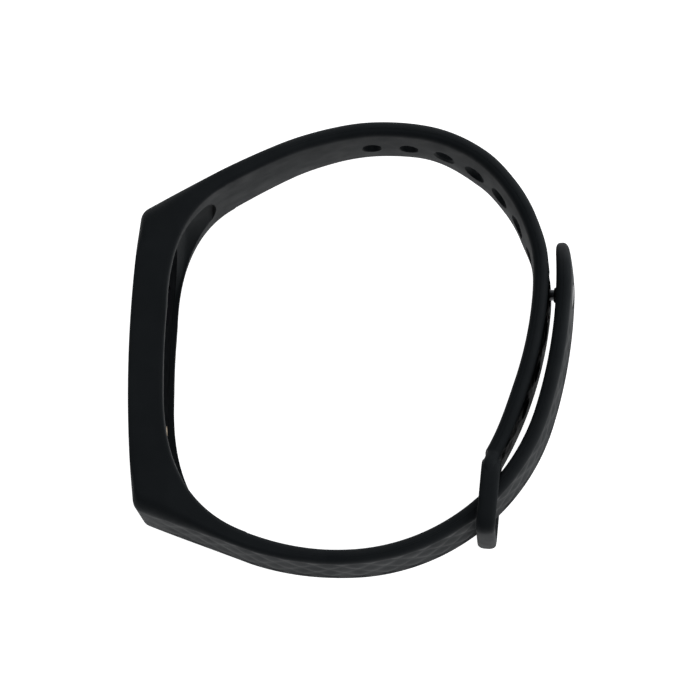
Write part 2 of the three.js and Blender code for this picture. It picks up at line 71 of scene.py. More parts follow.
CASE_WIDTH = 18.0
CASE_LENGTH = 45.2
CASE_MID_Y = -3.0
FRONT_X = -33.3
FRONT_RADIUS = 190.0
RIM_DEPTH = 5.1
BACK_RADIUS = 120.0
BACK_ARC_TOP = 8.0
CAPSULE_LENGTH = 40.0
CAPSULE_WIDTH = 15.2
CAPSULE_DEPTH = 4.4
WINDOW_LENGTH = 37.4
WINDOW_WIDTH = 12.8
LIP_DEPTH = 0.7

# Straps: flat bands that follow chains of tangent arcs, each (length, turn in degrees).
STRAP_WIDTH = 15.0
STRAP_OUTER = 1.15
STRAP_INNER = 1.5
TAPER_START_X = -27.0
TAPER_END_X = -3.0
HOLE_STRAP = {
    "start": (-20.1, 25.2),
    "heading": 28.5,
    "arcs": [(10, -4.3), (22.2, -33.5), (14.5, -39), (15.9, -42.2), (28.8, -28.2)],
}
STUD_STRAP = {
    "start": (-15.3, -30.8),
    "heading": -18.2,
    "arcs": [(16.2, 21.7), (20.1, 36.1), (18.9, 34.3), (27.3, 21)],
}
HOLE_COUNT = 11
HOLE_PITCH = 5.87
HOLE_ALONG = 2.9
HOLE_ACROSS = 4.5
FIRST_HOLE_AT = 23.6
KEEPER_TOP = (21.7, -18.4)
KEEPER_BAR = 2.9
KEEPER_SIDE = 1.2

# Stud: each pair is its size along and across the strap.
STUD_HOLE = 7
STUD_NECK = (1.6, 3.2)
STUD_HEAD = (2.0, 4.0)
STUD_FLANGE = (3.7, 5.3)
STUD_HEAD_HEIGHT = 1.2
STUD_FLANGE_HEIGHT = 0.5
STUD_SEAT_CLEARANCE = 0.15

# ---- Fine shape that only the looks need ----

# Section of the moulding: how far its faces bulge, and the radii of its edges.
OUTER_CROWN = 0.08
INNER_CROWN = 0.36
OUTER_EDGE_RADIUS = 0.72
INNER_EDGE_RADIUS = 0.7
STRAP_EDGE_RADIUS = 1.05
FRONT_EDGE_RADIUS = 0.5
CORNER_EDGE_RADIUS = 2.4
EDGE_SHARE = 0.9
PARTING_LINE_HEIGHT = 0.05
SMOOTH_ANGLE = 38

# Case. Depths count back from its front face: the pocket's chamfer is (depth, how much bigger
# the opening is there), and its flared mouth is its two ends in Y at each depth.
CORNER_RADIUS = 1.2
CORNER_PROUD = 0.3
RIM_PROUD = 0.25
BACK_ARC_BOTTOM = 4.0
POCKET_CLEARANCE = 0.08
POCKET_CHAMFER = ((-2.0, 0.9), (-RIM_PROUD - 0.02, 0.9), (0.05, 0.1), (0.25, 0.0))
MOUTH_DEPTHS = (4.4, 5.3, 9.0, 10.0, 12.5, 26.0)
MOUTH_TOPS = (17.08, 20.2, 23.1, 22.1, 20.5, 20.5)
MOUTH_BOTTOMS = (-23.08, -23.9, -25.4, -24.6, -23.4, -23.4)
SHOULDER_STEPS = 60
CORNER_STEPS = 12
FRONT_STEPS = 60

# Stretches of the case where its section changes: 0 is at a strap, 1 at a corner and 2 in the
# middle of the front.
SHOULDER_IN = (0, 0.8)
FRONT_IN = (1.02, 1.3)
CASE_DIAMONDS_OUT = (0.5, 0.9)

# Quilt of diamonds on the outer faces, and the smooth island round each hole.
DIAMOND_LENGTH = 4.2
DIAMOND_HEIGHT = 0.3
DIAMOND_DOME = 1.8
DIAMOND_STEPS = 16
DIAMOND_BORDER = 0.9
HOLE_ISLAND = 0.8
HOLE_ISLAND_EDGE = (0.9, 1.25)
HOLE_FLARE = 0.3

# The hole strap leans and lies a little off its route; each pair is a stretch along it.
STRAP_LEAN = 1.1
STRAP_LEAN_IN = (30, 42)
STRAP_LEAN_OUT = (54, 66)
STRAP_SHIFT = 0.22
STRAP_SHIFT_IN = (14, 24)
ON_ROUTE_IN = (42, 48)
ON_ROUTE_OUT = (54, 60)

# Both straps take on their own section in a stretch next to the case.
CROWN_IN = (-6, 12)
PARTING_IN = (2, 14)
ROUNDER_IN = (0, 16)

# Keeper loop, and the root that joins it to the hole strap.
KEEPER_END = (21.0, -28.3)
KEEPER_SHIFT = 0.5
KEEPER_LEAN = 0.6
KEEPER_BEND = 1.7
KEEPER_CROSS_EXTRA = 0.3
KEEPER_CROSS_IN = (0.2, 0.95)
KEEPER_CORNER_STEPS = 10
KEEPER_SECTION_STEPS = 36
KEEPER_SQUARENESS = (0.75, 0.8)
KEEPER_APPROACH = (80, 91)
KEEPER_ROOT_DROP = 2.4
KEEPER_ROOT_OVERLAP = 0.5
KEEPER_ROOT_ROUNDING = 1.8
KEEPER_ROOT_STEPS = 26
KEEPER_ROOT_KNEE = 0.3
KEEPER_ROOT_TURN = (0, 0.8)
KEEPER_ROOT_SPREAD = (0, 0.75)
KEEPER_ROOT_UNSHIFT = (0, 0.9)
KEEPER_ROOT_BLUNTEST = 0.15
KEEPER_KNEE_TRIM = 0.5

# Tail of the stud strap: its tip, and where its diamonds fade as distances from the tip.
SEAM_AT = 40.6
TIP_LENGTH = 7.5
TIP_THINNING = 0.7
TIP_ROUNDING = 2.0
TIP_DIAMONDS_OUT = (16, 9)
TIP_PARTING_OUT = (1, 4)

# Stud: edge radii, the collar round its neck, and the steps of the cap's face, each as
# (drop below its top, share of its length, share of its width).
HEAD_EDGE = 0.35
FLANGE_EDGE = 0.1
CAP_EDGE = 0.14
CAP_RIM_DROP = 0.06
CAP_FACE = ((0.045, 0.72, 0.8), (0.02, 0.68, 0.77))
STUD_COLLAR = (2.1, 3.8)
STUD_COLLAR_HEIGHT = 0.3
STUD_COLLAR_FLARE = 0.25

# Window glass, and the ring printed on it.
WINDOW_PLAY = 0.1
WINDOW_THICKNESS = 0.7
WINDOW_DOME = 0.1
WINDOW_SINK = 0.12
WINDOW_EDGE = 0.5
WINDOW_EDGE_DROP = 0.3
WINDOW_TIP = 0.2
WINDOW_STEPS = 24
TOUCH_KEY_Y = -17.2
TOUCH_RING_RADII = (1.75, 2.0)
TOUCH_RING_LIFTS = (-0.01, 0.02)

# ---- Worked-out values ----

MID_Z = CASE_WIDTH / 2
CASE_TOP_Y = CASE_MID_Y + CASE_LENGTH / 2
CASE_BOTTOM_Y = CASE_MID_Y - CASE_LENGTH / 2
FRONT_CENTRE_X = FRONT_X + FRONT_RADIUS
BACK_X = FRONT_X + RIM_DEPTH
STUD_AT = FIRST_HOLE_AT + STUD_HOLE * HOLE_PITCH


def smooth(value, low, high):
    """0 below low, 1 above high, and a smooth step between them."""
    t = min(1.0, max(0.0, (value - low) / (high - low)))
    return t * t * (3 - 2 * t)


def signed_power(value, power):
    """A power of a value's size, with its sign kept."""
    return math.copysign(abs(value) ** power, value)


# ---- Materials ----


class Shader:
    """A node material with a Principled shader, built up a node at a time."""

    def __init__(self, name):
        self.material = bpy.data.materials.new(name)
        self.material.use_nodes = True
        self.nodes = self.material.node_tree.nodes
        self.links = self.material.node_tree.links
        self.main = self.nodes["Principled BSDF"]
        self.place = self.nodes.new("ShaderNodeTexCoord").outputs["Object"]

    def set(self, **sockets):
        for name, value in sockets.items():
            self.main.inputs[name.replace("_", " ")].default_value = value

    def noise(self, scale, detail):
        node = self.nodes.new("ShaderNodeTexNoise")
        node.inputs["Scale"].default_value = scale
        node.inputs["Detail"].default_value = detail
        self.links.new(self.place, node.inputs["Vector"])
        return node.outputs["Fac"]

    def ramp(self, value, stops):
        node = self.nodes.new("ShaderNodeValToRGB")
        ramp = node.color_ramp
        while len(ramp.elements) < len(stops):
            ramp.elements.new(0.5)
        for element, (position, color) in zip(ramp.elements, stops):
            element.position = position
            element.color = (*color, 1)
        self.links.new(value, node.inputs["Fac"])
        return node.outputs["Color"]

    def span(self, value, low, high):
        """A noise value, mostly between 0.3 and 0.7, mapped to low and high."""
        node = self.nodes.new("ShaderNodeMapRange")
        node.inputs["From Min"].default_value = 0.3
        node.inputs["From Max"].default_value = 0.7
        node.inputs["To Min"].default_value = low
        node.inputs["To Max"].default_value = high
        self.links.new(value, node.inputs["Value"])
        return node.outputs["Result"]

    def color(self, output):
        self.links.new(output, self.main.inputs["Base Color"])

    def roughness(self, output):
        self.links.new(output, self.main.inputs["Roughness"])

    def bump(self, height, distance, strength):
        node = self.nodes.new("ShaderNodeBump")
        node.inputs["Distance"].default_value = distance
        node.inputs["Strength"].default_value = strength
        self.links.new(height, node.inputs["Height"])
        before = self.main.inputs["Normal"].links
        if before:
            self.links.new(before[0].from_socket, node.inputs["Normal"])
        self.links.new(node.outputs["Normal"], self.main.inputs["Normal"])


# Matte surfaces mirror less at a grazing angle than glossy ones do.
MATTE_IOR = 1.28
GLOSSY_IOR = 1.45
MATTE_FROM = 0.35
FAINT_MIRRORS = ("shell_plastic", "sensor_glass")

SILICONE_DARK = (0.0046, 0.0064, 0.0078)
SILICONE_LIGHT = (0.0068, 0.009, 0.0106)
SILICONE_ROUGHNESS = (0.7, 0.83)


def silicone():
    """Matte black silicone: a fine moulded grain and faint cloudiness."""
    shader = Shader("look_silicone")
    cloud = shader.noise(scale=90, detail=5)
    shader.color(shader.ramp(cloud, [(0.3, SILICONE_DARK), (0.72, SILICONE_LIGHT)]))
    shader.roughness(shader.span(shader.noise(scale=260, detail=6), *SILICONE_ROUGHNESS))
    shader.set(IOR=MATTE_IOR)
    shader.bump(shader.noise(scale=6000, detail=3), distance=0.02 * MM, strength=0.35)
    shader.bump(shader.noise(scale=420, detail=2), distance=0.03 * MM, strength=0.25)
    return shader.material


# Finish of each other material: darkest and lightest colour, roughness range, metallic,
# grain scale, grain depth in mm.
FINISHES = {
    "stud_metal": ((0.03, 0.032, 0.035), (0.06, 0.063, 0.068), (0.26, 0.4), 1.0, 900, 0.02),
    "window_glass": ((0.002, 0.002, 0.003), (0.004, 0.004, 0.005), (0.03, 0.07), 0.0, 60, 0.0005),
    "adhesive": ((0.01, 0.01, 0.01), (0.02, 0.02, 0.02), (0.5, 0.7), 0.0, 1500, 0.01),
    "shell_plastic": ((0.003, 0.0034, 0.0038), (0.006, 0.0066, 0.0072), (0.75, 0.9), 0.0, 5000, 0.01),
    "seal_rubber": ((0.012, 0.012, 0.013), (0.022, 0.022, 0.024), (0.6, 0.8), 0.0, 1800, 0.02),
    "display_glass": ((0.006, 0.007, 0.012), (0.01, 0.011, 0.018), (0.08, 0.14), 0.0, 300, 0.001),
    "flex_film": ((0.22, 0.09, 0.02), (0.35, 0.15, 0.03), (0.3, 0.45), 0.0, 700, 0.005),
    "copper": ((0.55, 0.25, 0.13), (0.75, 0.36, 0.2), (0.25, 0.42), 1.0, 1200, 0.008),
    "board_green": ((0.004, 0.05, 0.018), (0.01, 0.1, 0.035), (0.3, 0.45), 0.0, 900, 0.008),
    "chip_black": ((0.01, 0.01, 0.011), (0.02, 0.02, 0.022), (0.45, 0.6), 0.0, 3500, 0.008),
    "battery_foil": ((0.42, 0.43, 0.45), (0.6, 0.61, 0.63), (0.22, 0.36), 1.0, 500, 0.02),
    "foam": ((0.03, 0.03, 0.032), (0.07, 0.07, 0.074), (0.85, 1.0), 0.0, 3000, 0.06),
    "steel": ((0.4, 0.41, 0.42), (0.58, 0.59, 0.6), (0.2, 0.34), 1.0, 1400, 0.006),
    "tungsten": ((0.16, 0.16, 0.165), (0.26, 0.26, 0.27), (0.35, 0.5), 1.0, 1600, 0.01),
    "led_resin": ((0.5, 0.52, 0.4), (0.7, 0.72, 0.55), (0.12, 0.2), 0.0, 400, 0.002),
    "photodiode_silicon": ((0.02, 0.022, 0.035), (0.04, 0.045, 0.07), (0.08, 0.16), 0.4, 700, 0.002),
    "sensor_glass": ((0.003, 0.003, 0.004), (0.006, 0.006, 0.007), (0.4, 0.55), 0.0, 90, 0.0005),
    "gold": ((0.16, 0.1, 0.035), (0.26, 0.17, 0.06), (0.35, 0.5), 1.0, 1500, 0.004),
    "printed_mark": ((0.25, 0.26, 0.27), (0.34, 0.35, 0.36), (0.4, 0.5), 0.0, 1200, 0.002),
}


def finish(name):
    """A material whose colour, gloss and surface vary a little, as its finish says."""
    dark, light, gloss, metallic, grain_scale, grain_depth = FINISHES[name]
    shader = Shader("look_" + name)
    cloud = shader.noise(scale=grain_scale / 8, detail=5)
    shader.color(shader.ramp(cloud, [(0.3, dark), (0.7, light)]))
    shader.roughness(shader.span(shader.noise(scale=grain_scale / 3, detail=4), *gloss))
    shader.set(Metallic=metallic, IOR=MATTE_IOR if gloss[0] > MATTE_FROM else GLOSSY_IOR)
    if name in FAINT_MIRRORS:
        shader.set(Specular_IOR_Level=0.0)
    shader.bump(shader.noise(scale=grain_scale, detail=4), grain_depth * MM, strength=0.5)
    return shader.material


SILICONE = silicone()
LOOKS = {name: finish(name) for name in FINISHES}

# ---- Mesh building ----


def mesh_piece(name, points, faces, material, smooth_angle=40):
    """A new object from points in millimetres."""
    mesh = bpy.data.meshes.new(name)
    mesh.from_pydata([tuple(c * MM for c in p) for p in points], [], faces)
    mesh.validate()
    piece = bpy.data.objects.new(name, mesh)
    bpy.context.scene.collection.objects.link(piece)
    mesh.materials.append(material)
    tidy_normals(piece)
    shade(piece, smooth_angle)
    return piece


def tidy_normals(piece):
    work = bmesh.new()
    work.from_mesh(piece.data)
    bmesh.ops.recalc_face_normals(work, faces=work.faces)
    work.to_mesh(piece.data)
    work.free()


def shade(piece, angle):
    """Smooth shading, with edges sharper than the angle kept crisp."""
    mesh = piece.data
    mesh.polygons.foreach_set("use_smooth", [True] * len(mesh.polygons))
    mesh.set_sharp_from_angle(angle=math.radians(angle))


def loft(rings, closed=False):
    """Points and faces through rings of equal length; the two ends are capped unless closed."""
    size = len(rings[0])
    points = [p for ring in rings for p in ring]
    faces = []
    spans = len(rings) if closed else len(rings) - 1
    for i in range(spans):
        a = i * size
        b = ((i + 1) % len(rings)) * size
        for j in range(size):
            k = (j + 1) % size
            faces.append((a + j, a + k, b + k, b + j))
    if not closed:
        faces.append(tuple(range(size - 1, -1, -1)))
        last = (len(rings) - 1) * size
        faces.append(tuple(last + j for j in range(size)))
    return points, faces


def combine(piece, tool, operation, crosses_itself=False):
    """Joins or cuts piece with tool, and removes tool."""
    modifier = piece.modifiers.new("combine", "BOOLEAN")
    modifier.operation = operation
    modifier.solver = "EXACT"
    modifier.use_self = crosses_itself
    modifier.object = tool
    bpy.context.view_layer.objects.active = piece
    bpy.ops.object.modifier_apply(modifier=modifier.name)
    bpy.data.objects.remove(tool)


# ---- Routes ----


def route_at(strap, distance):
    """x, y and heading at a distance along a strap's chain of tangent arcs."""
    x, y = strap["start"]
    heading = math.radians(strap["heading"])
    left = distance
    for i, (length, turn) in enumerate(strap["arcs"]):
        last = i == len(strap["arcs"]) - 1
        step = left if last else min(left, length)
        bend = math.radians(turn) / length
        following = heading + bend * step
        x += (math.sin(following) - math.sin(heading)) / bend
        y += (math.cos(heading) - math.cos(following)) / bend
        heading = following
        left -= step
        if left <= 0:
            break
    return x, y, heading


def beside(station, side):
    """The point at a distance to the left of a place on a route."""
    x, y, heading = station
    return np.array((x - math.sin(heading) * side, y + math.cos(heading) * side))


def strap_length(strap):
    return sum(length for length, _ in strap["arcs"])


def half_width(x):
    """Half the band's width at a place along X: it narrows away from the case."""
    share = min(1.0, max(0.0, (x - TAPER_START_X) / (TAPER_END_X - TAPER_START_X)))
    return (CASE_WIDTH + (STRAP_WIDTH - CASE_WIDTH) * share) / 2


# ---- Section of the moulding ----


def diamonds(along, across):
    """Height, from 0 to 1, of a quilt of domed diamonds; across runs from -1 to 1."""
    row = along / DIAMOND_LENGTH
    height = 1.0
    for slant in (row + across, row - across):
        edge = abs(2 * (slant - math.floor(slant)) - 1)
        height *= 1 - edge**DIAMOND_DOME
    return height


class Ring:
    """One section of the moulding, between an inner and an outer point of the side view."""

    surface_steps = 32
    arc_steps = 6
    side_steps = 8

    def __init__(self, inner, outer, half, **shape):
        self.inner = np.array(inner, float)
        span = np.array(outer, float) - self.inner
        self.depth = float(np.hypot(*span))
        self.out = span / self.depth
        self.half = half
        self.inner_crown = shape.get("inner_crown", INNER_CROWN)
        self.outer_crown = shape.get("outer_crown", OUTER_CROWN)
        self.inner_radius = shape.get("inner_radius", INNER_EDGE_RADIUS)
        self.outer_radius = shape.get("outer_radius", OUTER_EDGE_RADIUS)
        self.along = shape.get("along", 0.0)
        self.diamonds = shape.get("diamonds", 0.0)
        self.parting = shape.get("parting", 1.0)
        self.hole_gap = shape.get("hole_gap", 100.0)
        self.lean = shape.get("lean", 0.0)
        self.shift = shape.get("shift", 0.0)

    def place(self, across, level):
        """The point at a distance across the band and a level out from its inner surface."""
        level += self.shift - self.lean * (MID_Z - across) / CASE_WIDTH
        x, y = self.inner + self.out * level
        return (x, y, MID_Z + across)

    def relief(self, across, share):
        """How far the outer surface lies below the tops of the diamonds."""
        if self.diamonds <= 0:
            return 0.0
        border = 1 - smooth(abs(share), DIAMOND_BORDER, 1.0)
        from_hole = math.hypot(
            self.hole_gap / (HOLE_ALONG / 2 + HOLE_ISLAND),
            across / (HOLE_ACROSS / 2 + HOLE_ISLAND),
        )
        clear = smooth(from_hole, *HOLE_ISLAND_EDGE)
        return self.diamonds * border * clear * (1 - diamonds(self.along, share))

    def corner(self, crown, radius):
        """Where a crowned surface ends and its edge's arc starts, and the slope there."""
        start = self.half - radius
        slope = math.atan(2 * crown * start / self.half**2)
        start = self.half - radius + radius * math.sin(slope)
        return start, slope, crown * (start / self.half) ** 2

    def inner_level(self, across):
        return self.inner_crown * (across / self.half) ** 2

    def outer_level(self, across):
        return self.depth - self.outer_crown * (across / self.half) ** 2

    def points(self):
        """Round the section: inner surface, one edge, outer surface, the other edge."""
        half_ring = []
        inner_start, inner_slope, inner_drop = self.corner(self.inner_crown, self.inner_radius)
        outer_start, outer_slope, outer_drop = self.corner(self.outer_crown, self.outer_radius)
        inner_mid = (
            inner_start - self.inner_radius * math.sin(inner_slope),
            inner_drop + self.inner_radius * math.cos(inner_slope),
        )
        outer_mid = (
            outer_start - self.outer_radius * math.sin(outer_slope),
            self.depth - outer_drop - self.outer_radius * math.cos(outer_slope),
        )
        for i in range(1, self.arc_steps):
            turn = (1 - i / self.arc_steps) * (math.pi / 2 - inner_slope)
            half_ring.append(
                (
                    inner_mid[0] + self.inner_radius * math.cos(turn),
                    inner_mid[1] - self.inner_radius * math.sin(turn),
                )
            )
        for i in range(self.side_steps + 1):
            share = i / self.side_steps
            level = inner_mid[1] + (outer_mid[1] - inner_mid[1]) * share
            ridge = PARTING_LINE_HEIGHT * self.parting if i == self.side_steps // 2 else 0.0
            half_ring.append((self.half + ridge, level))
        for i in range(1, self.arc_steps):
            turn = i / self.arc_steps * (math.pi / 2 - outer_slope)
            half_ring.append(
                (
                    outer_mid[0] + self.outer_radius * math.cos(turn),
                    outer_mid[1] + self.outer_radius * math.sin(turn),
                )
            )
        ring = []
        for i in range(self.surface_steps + 1):
            across = inner_start * (2 * i / self.surface_steps - 1)
            ring.append(self.place(across, self.inner_level(across)))
        ring += [self.place(a, level) for a, level in half_ring]
        for i in range(self.surface_steps + 1):
            share = 1 - 2 * i / self.surface_steps
            across = outer_start * share
            level = self.outer_level(across) - DIAMOND_HEIGHT * self.relief(across, share)
            ring.append(self.place(across, level))
        ring += [self.place(-a, level) for a, level in reversed(half_ring)]
        return ring


# ---- The moulding ----


def case_outline():
    """Matching inner and outer points of the side view, from the top strap to the bottom one.

    With them comes how far along each is: 0 at a strap, 1 at a corner, 2 in the middle of the front.
    """
    top = route_at(HOLE_STRAP, 0)
    bottom = route_at(STUD_STRAP, 0)
    reach = math.asin(CASE_LENGTH / 2 / FRONT_RADIUS)
    corner_turn = CORNER_RADIUS / FRONT_RADIUS
    corner_x = FRONT_CENTRE_X - RIM_PROUD - FRONT_RADIUS * math.cos(reach)
    back_centre = BACK_X + BACK_RADIUS
    back_top = math.asin(BACK_ARC_TOP / BACK_RADIUS)
    back_bottom = math.asin(BACK_ARC_BOTTOM / BACK_RADIUS)

    top_outer = beside(top, STRAP_OUTER)
    top_inner = beside(top, -STRAP_INNER)
    bottom_outer = beside(bottom, -STRAP_OUTER)
    bottom_inner = beside(bottom, STRAP_INNER)

    def on_front(angle):
        return np.array(
            (
                FRONT_CENTRE_X - RIM_PROUD - FRONT_RADIUS * math.cos(angle),
                CASE_MID_Y + FRONT_RADIUS * math.sin(angle),
            )
        )

    def on_back(angle):
        return np.array(
            (
                back_centre - BACK_RADIUS * math.cos(angle),
                CASE_MID_Y + BACK_RADIUS * math.sin(angle),
            )
        )

    def bow(a, b, c, steps):
        return [
            (1 - t) ** 2 * a + 2 * t * (1 - t) * b + t * t * c
            for t in np.linspace(0, 1, steps)
        ]

    def line(a, b, steps):
        return [a + (b - a) * t for t in np.linspace(0, 1, steps)]

    def shoulder(strap_outer, corner, front_angle):
        rise = (strap_outer - corner) / np.hypot(*(strap_outer - corner))
        straight = line(strap_outer, corner + rise * CORNER_RADIUS, SHOULDER_STEPS)
        rounded = bow(corner + rise * CORNER_RADIUS, corner, on_front(front_angle), CORNER_STEPS)
        return straight[:-1] + rounded

    corner_a = np.array((corner_x, CASE_TOP_Y))
    corner_b = np.array((corner_x, CASE_BOTTOM_Y))
    outer_top = shoulder(top_outer, corner_a, reach - corner_turn)
    outer_bottom = shoulder(bottom_outer, corner_b, corner_turn - reach)[::-1]
    front_angles = np.linspace(reach - corner_turn, corner_turn - reach, FRONT_STEPS)
    outer_front = [on_front(angle) for angle in front_angles]

    def knee(inner, heading, back_point):
        y = inner[1] - (inner[0] - back_point[0]) * math.tan(heading)
        return np.array((back_point[0], y))

    inner_top_knee = knee(top_inner, top[2], on_back(back_top))
    inner_bottom_knee = knee(bottom_inner, bottom[2], on_back(-back_bottom))
    inner_top = bow(top_inner, inner_top_knee, on_back(back_top), len(outer_top))
    inner_bottom = bow(on_back(-back_bottom), inner_bottom_knee, bottom_inner, len(outer_bottom))
    inner_front = [on_back(angle) for angle in np.linspace(back_top, -back_bottom, FRONT_STEPS)]
    outer = outer_top[:-1] + outer_front + outer_bottom[1:]
    inner = inner_top[:-1] + inner_front + inner_bottom[1:]
    shoulder_share = list(np.linspace(0, 1, len(outer_top)))
    front_share = [2 - abs(t) for t in np.linspace(-1, 1, len(outer_front))]
    along = shoulder_share[:-1] + front_share + shoulder_share[::-1][1:]
    return inner, outer, along


def strap_ring(strap, distance, outer_side, **shape):
    """The section at a distance along a strap whose outer face is on its route's 1 or -1 side."""
    station = route_at(strap, distance)
    rounder = smooth(distance, *ROUNDER_IN)
    return Ring(
        beside(station, -outer_side * STRAP_INNER),
        beside(station, outer_side * STRAP_OUTER),
        half_width(station[0]),
        inner_crown=INNER_CROWN * smooth(distance, *CROWN_IN),
        inner_radius=INNER_EDGE_RADIUS + (STRAP_EDGE_RADIUS - INNER_EDGE_RADIUS) * rounder,
        outer_radius=OUTER_EDGE_RADIUS + (STRAP_EDGE_RADIUS - OUTER_EDGE_RADIUS) * rounder,
        along=distance,
        diamonds=1.0,
        parting=smooth(distance, *PARTING_IN),
        **shape,
    )


def even_steps(start, end):
    """Distances from start to end that fall on the diamonds' grid."""
    step = DIAMOND_LENGTH / DIAMOND_STEPS
    first = math.ceil(start / step + 1e-6)
    last = math.floor(end / step - 1e-6)
    return [start] + [i * step for i in range(first, last + 1)] + [end]


def strap_lean(distance):
    """How much further in the hole strap's far edge lies than its near edge."""
    lean = STRAP_LEAN * smooth(distance, *STRAP_LEAN_IN) * (1 - smooth(distance, *STRAP_LEAN_OUT))
    return lean + KEEPER_LEAN * smooth(distance, *KEEPER_APPROACH)


def strap_shift(distance):
    """How far out the hole strap lies from its route."""
    on_route = smooth(distance, *ON_ROUTE_IN) * (1 - smooth(distance, *ON_ROUTE_OUT))
    shift = STRAP_SHIFT * smooth(distance, *STRAP_SHIFT_IN) * (1 - on_route)
    return shift + KEEPER_SHIFT * smooth(distance, *KEEPER_APPROACH)


def hole_strap_rings():
    """From the keeper loop back to the case."""
    rings = []
    for distance in even_steps(0, strap_length(HOLE_STRAP)):
        nearest = round((distance - FIRST_HOLE_AT) / HOLE_PITCH)
        nearest = min(HOLE_COUNT - 1, max(0, nearest))
        rings.append(
            strap_ring(
                HOLE_STRAP,
                distance,
                1,
                hole_gap=abs(distance - FIRST_HOLE_AT - nearest * HOLE_PITCH),
                lean=strap_lean(distance),
                shift=strap_shift(distance),
            )
        )
    return rings[::-1]


def stud_strap_rings():
    """From the case to the seam where the tail starts."""
    return [strap_ring(STUD_STRAP, distance, -1) for distance in even_steps(0, SEAM_AT)]


def keeper_root_rings():
    """The hole strap's end: it turns down, widens and thickens into the loop's top bar."""
    station = route_at(HOLE_STRAP, strap_length(HOLE_STRAP) - KEEPER_ROOT_OVERLAP)
    heading = station[2]
    end = beside(station, 0)
    top = np.array(KEEPER_TOP)
    down = np.array(KEEPER_END) - top
    down = down / np.hypot(*down)
    turned = math.atan2(down[1], down[0])
    tip = top + down * KEEPER_ROOT_DROP
    reach = float(np.hypot(*(tip - end)))
    knee = end + np.array((math.cos(heading), math.sin(heading))) * reach * KEEPER_ROOT_KNEE
    rings = []
    for i in range(KEEPER_ROOT_STEPS + 1):
        share = i / KEEPER_ROOT_STEPS
        bend = heading + (turned - heading) * smooth(share, *KEEPER_ROOT_TURN)
        middle = (1 - share) ** 2 * end + 2 * share * (1 - share) * knee + share**2 * tip
        spread = smooth(share, *KEEPER_ROOT_SPREAD)
        closing = min(1.0, (1 - share) * reach / KEEPER_ROOT_ROUNDING)
        blunt = max(KEEPER_ROOT_BLUNTEST, math.sqrt(1 - (1 - closing) ** 2))
        outer_side = (STRAP_OUTER + (KEEPER_BAR / 2 - STRAP_OUTER) * spread) * blunt
        inner_side = (STRAP_INNER + (KEEPER_BAR / 2 - STRAP_INNER) * spread) * blunt
        inner_side -= KEEPER_KNEE_TRIM * math.sin(math.pi * share)
        half = (STRAP_WIDTH + (CASE_WIDTH - STRAP_WIDTH) * spread) / 2
        place = (middle[0], middle[1], bend)
        rings.append(
            Ring(
                beside(place, -inner_side),
                beside(place, outer_side),
                half,
                inner_crown=INNER_CROWN * (1 - spread),
                outer_crown=OUTER_CROWN,
                inner_radius=min(STRAP_EDGE_RADIUS, inner_side * EDGE_SHARE),
                outer_radius=min(STRAP_EDGE_RADIUS, outer_side * EDGE_SHARE),
                parting=1 - spread,
                lean=KEEPER_LEAN,
                shift=(STRAP_SHIFT + KEEPER_SHIFT) * (1 - smooth(share, *KEEPER_ROOT_UNSHIFT)),
            )
        )
    return rings[::-1]


def case_rings():
    """Round the case, from the hole strap over the front to the stud strap."""
    inner_points, outer_points, shares = case_outline()
    rings = []
    for inner, outer, share in list(zip(inner_points, outer_points, shares))[1:-1]:
        shoulder = smooth(share, *SHOULDER_IN)
        front = smooth(share, *FRONT_IN)
        from_strap = min(float(np.hypot(*(outer - outer_points[end]))) for end in (0, -1))
        outer_radius = OUTER_EDGE_RADIUS + (CORNER_EDGE_RADIUS - OUTER_EDGE_RADIUS) * shoulder
        out = (outer - inner) / np.hypot(*(outer - inner))
        rings.append(
            Ring(
                inner,
                outer + out * CORNER_PROUD * shoulder * (1 - front),
                half_width((inner[0] + outer[0]) / 2),
                inner_crown=0.0,
                outer_crown=OUTER_CROWN * (1 - shoulder),
                along=-from_strap,
                diamonds=1 - smooth(share, *CASE_DIAMONDS_OUT),
                outer_radius=outer_radius + (FRONT_EDGE_RADIUS - outer_radius) * front,
                inner_radius=INNER_EDGE_RADIUS * (1 - 0.5 * front),
                parting=0.0,
            )
        )
    return rings


def pill_points(length, width, mid_y, steps=24):
    """Round-ended oblong in Y and Z, as (y, z) points."""
    radius = width / 2
    reach = length / 2 - radius
    points = []
    for side in (1, -1):
        for i in range(steps + 1):
            turn = math.pi * i / steps
            y = mid_y + side * (reach + radius * math.sin(turn))
            points.append((y, MID_Z - side * radius * math.cos(turn)))
        for i in range(1, steps):
            y = mid_y + side * reach * (1 - 2 * i / steps)
            points.append((y, MID_Z + side * radius))
    return points


def front_x(y, depth):
    """X of the curve that lies a depth behind the case's front face."""
    radius = FRONT_RADIUS - depth
    return FRONT_CENTRE_X - math.sqrt(radius**2 - (y - CASE_MID_Y) ** 2)


